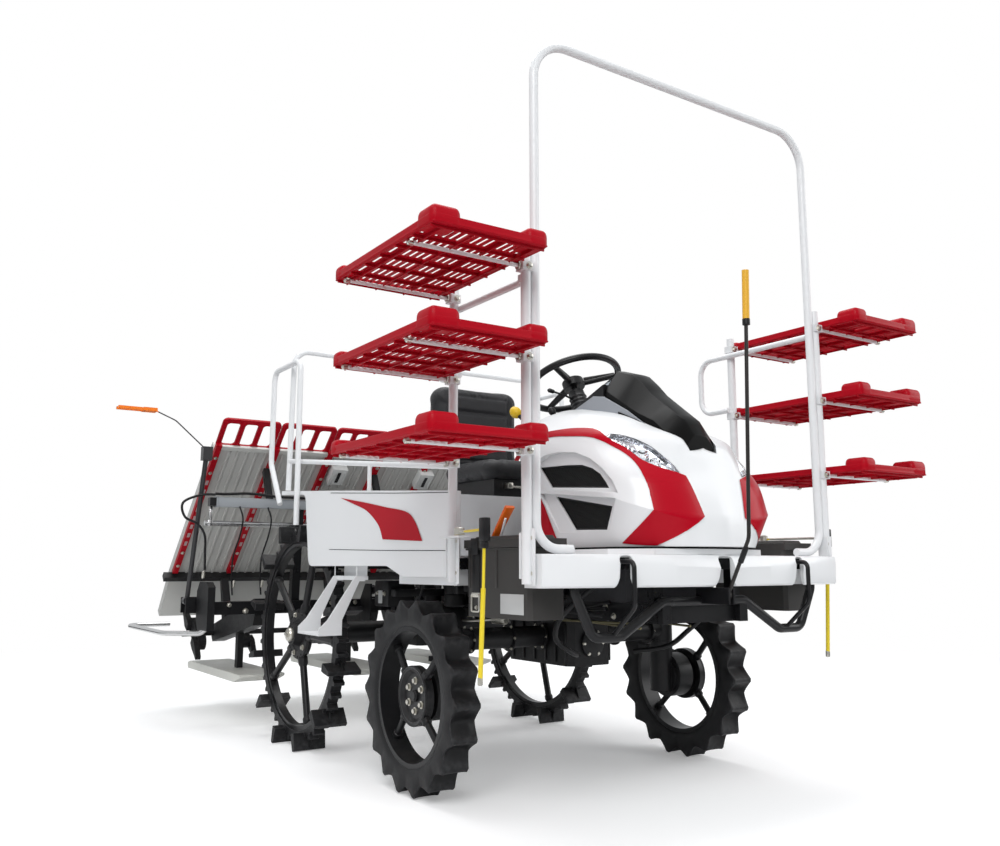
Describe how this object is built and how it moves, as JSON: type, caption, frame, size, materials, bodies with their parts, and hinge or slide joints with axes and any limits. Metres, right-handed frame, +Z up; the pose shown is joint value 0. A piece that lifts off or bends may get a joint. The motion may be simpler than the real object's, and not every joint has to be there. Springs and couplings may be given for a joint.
{
  "type": "rice transplanter",
  "caption": "Riding rice transplanter: four lugged wheels, hooded engine, seat, side racks of seedling trays, overhead arch and a rear planting unit with a sloping table.",
  "frame": {"origin": "on the ground, under the middle of the bounding box", "axes": "+Y backward along the machine, +X to the operator's left, +Z up; the machine faces -Y"},
  "size_m": [2.69, 3.54, 2.398],
  "materials": {
    "tyre_black": "matte",
    "rim_black": "satin black paint",
    "case_black": "satin black paint over castings",
    "chassis_black": "satin black paint",
    "engine_grey": "matte",
    "deck_white": "gloss white paint",
    "body_white": "gloss white paint",
    "rack_white": "gloss white paint on tube",
    "tray_red": "semi-gloss red plastic",
    "seat_black": "black vinyl",
    "box_black": "matte black plastic",
    "visor_black": "gloss black plastic",
    "lamp_clear": "clear lens",
    "grille_black": "matte black mesh",
    "wheel_black": "matte black",
    "link_black": "satin black paint",
    "rod_chrome": "polished",
    "planter_black": "satin black paint",
    "guard_steel": "bright bent pipe",
    "rotor_grey": "satin",
    "table_grey": "satin",
    "extension_red": "semi-gloss red plastic",
    "float_white": "matte white plastic",
    "marker_black": "satin black rod",
    "marker_yellow": "yellow plastic"
  },
  "bodies": {
    "machine": {"chassis_frame": "chassis_black", "engine_block": "engine_grey", "front_axle_case": "case_black", "rear_axle_case": "case_black", "front_bumper": "chassis_black", "floor_deck": "deck_white", "rear_body": "body_white", "seat_base": "box_black", "seat_cushion": "seat_black", "seat_back": "seat_black", "rack_frame_right": "rack_white", "rack_frame_left": "rack_white", "rack_trays_right": "tray_red", "rack_trays_left": "tray_red", "overhead_arch": "rack_white", "rear_rails": "rack_white", "tool_box": "box_black", "battery_box": "box_black", "step_right": "deck_white", "step_left": "deck_white", "hood": "body_white", "hood_visor": "visor_black", "headlamps": "lamp_clear", "side_grilles": "grille_black", "dash_panel": "box_black", "steering_column": "wheel_black"},
    "steering_wheel": {"steering_wheel": "wheel_black"},
    "knuckle_right": {"final_case_right": "case_black"},
    "knuckle_left": {"final_case_left": "case_black"},
    "front_wheel_right": {"front_tyre_right": "tyre_black", "front_rim_right": "rim_black"},
    "front_wheel_left": {"front_tyre_left": "tyre_black", "front_rim_left": "rim_black"},
    "rear_wheel_right": {"rear_tyre_right": "tyre_black", "rear_rim_right": "rim_black"},
    "rear_wheel_left": {"rear_tyre_left": "tyre_black", "rear_rim_left": "rim_black"},
    "centre_pole": {"centre_pole": "marker_black"},
    "side_marker_right": {"side_marker_right": "marker_yellow"},
    "side_marker_left": {"side_marker_left": "marker_yellow"},
    "lower_link": {"lower_link": "link_black"},
    "upper_link": {"upper_link": "link_black"},
    "lift_barrel": {"lift_barrel": "link_black"},
    "lift_rod": {"lift_rod": "rod_chrome"},
    "planting_unit": {"planting_frame": "planter_black", "planting_cases": "planter_black", "guard_pipes": "guard_steel", "floats": "float_white", "planter_covers": "box_black"},
    "seedling_table": {"seedling_table": "table_grey", "table_frames": "extension_red"},
    "planting_rotors": {"planting_rotors": "rotor_grey"},
    "line_marker_right": {"line_marker_right": "marker_black"},
    "line_marker_left": {"line_marker_left": "marker_black"}
  },
  "joints": [
    {"name": "steering", "type": "hinge", "parent": "machine", "child": "steering_wheel", "pos_m": [0, -0.872, 1.455], "axis": [0, 0.4226, 0.9063], "range_deg": [-450, 450]},
    {"name": "kingpin_right", "type": "hinge", "parent": "machine", "child": "knuckle_right", "pos_m": [-0.5, -0.792, 0.3212], "axis": [0, 0, 1], "range_deg": [-40, 40]},
    {"name": "front_wheel_right_spin", "type": "hinge", "parent": "knuckle_right", "child": "front_wheel_right", "pos_m": [-0.62, -0.792, 0.3212], "axis": [1, 0, 0], "continuous": true},
    {"name": "rear_wheel_right_spin", "type": "hinge", "parent": "machine", "child": "rear_wheel_right", "pos_m": [-0.63, 0.253, 0.46565], "axis": [1, 0, 0], "continuous": true},
    {"name": "kingpin_left", "type": "hinge", "parent": "machine", "child": "knuckle_left", "pos_m": [0.5, -0.792, 0.3212], "axis": [0, 0, 1], "range_deg": [-40, 40]},
    {"name": "front_wheel_left_spin", "type": "hinge", "parent": "knuckle_left", "child": "front_wheel_left", "pos_m": [0.62, -0.792, 0.3212], "axis": [1, 0, 0], "continuous": true},
    {"name": "rear_wheel_left_spin", "type": "hinge", "parent": "machine", "child": "rear_wheel_left", "pos_m": [0.63, 0.253, 0.46565], "axis": [1, 0, 0], "continuous": true},
    {"name": "centre_pole_fold", "type": "hinge", "parent": "machine", "child": "centre_pole", "pos_m": [0, -1.638, 0.668], "axis": [1, 0, 0], "range_deg": [0, 80]},
    {"name": "side_marker_right_swing", "type": "hinge", "parent": "machine", "child": "side_marker_right", "pos_m": [-0.696, -1.178, 0.86], "axis": [0, 0, -1], "range_deg": [0, 90]},
    {"name": "side_marker_left_swing", "type": "hinge", "parent": "machine", "child": "side_marker_left", "pos_m": [0.696, -1.178, 0.86], "axis": [0, 0, 1], "range_deg": [0, 90]},
    {"name": "lower_link_lift", "type": "hinge", "parent": "machine", "child": "lower_link", "pos_m": [0, 0.338, 0.44], "axis": [1, 0, 0], "range_deg": [-26, 22]},
    {"name": "upper_link_lift", "type": "hinge", "parent": "machine", "child": "upper_link", "pos_m": [0, 0.338, 0.64], "axis": [1, 0, 0], "range_deg": [-26.5, 22.5]},
    {"name": "planting_unit_level", "type": "hinge", "parent": "lower_link", "child": "planting_unit", "pos_m": [0, 0.698, 0.44], "axis": [1, 0, 0], "range_deg": [-22.5, 26.5]},
    {"name": "lift_barrel_tilt", "type": "hinge", "parent": "machine", "child": "lift_barrel", "pos_m": [0, 0.138, 0.69], "axis": [1, 0, 0], "range_deg": [-3.78, 3.27]},
    {"name": "lift_rod_slide", "type": "slide", "parent": "lift_barrel", "child": "lift_rod", "axis": [0, 0.8321, -0.5547], "range_m": [-0.03748, 0.04411]},
    {"name": "table_shift", "type": "slide", "parent": "planting_unit", "child": "seedling_table", "axis": [1, 0, 0], "range_m": [-0.13, 0.13]},
    {"name": "rotor_turn", "type": "hinge", "parent": "planting_unit", "child": "planting_rotors", "pos_m": [0, 1.498, 0.4], "axis": [1, 0, 0], "continuous": true},
    {"name": "line_marker_right_swing", "type": "hinge", "parent": "planting_unit", "child": "line_marker_right", "pos_m": [-0.935, 0.95, 0.594], "axis": [0, -1, 0], "range_deg": [0, 85]},
    {"name": "line_marker_left_swing", "type": "hinge", "parent": "planting_unit", "child": "line_marker_left", "pos_m": [0.935, 0.95, 0.594], "axis": [0, 1, 0], "range_deg": [0, 85]}
  ],
  "couplings": [
    {"joint": "kingpin_right", "follows": "steering", "ratio": 0.0888},
    {"joint": "kingpin_left", "follows": "steering", "ratio": 0.0888},
    {"joint": "upper_link_lift", "follows": "lower_link_lift", "ratio": 1},
    {"joint": "planting_unit_level", "follows": "lower_link_lift", "ratio": -1},
    {"joint": "lift_barrel_tilt", "follows": "lower_link_lift", "ratio": 0.126},
    {"joint": "lift_rod_slide", "follows": "lower_link_lift", "m_per_rad": -0.095}
  ]
}
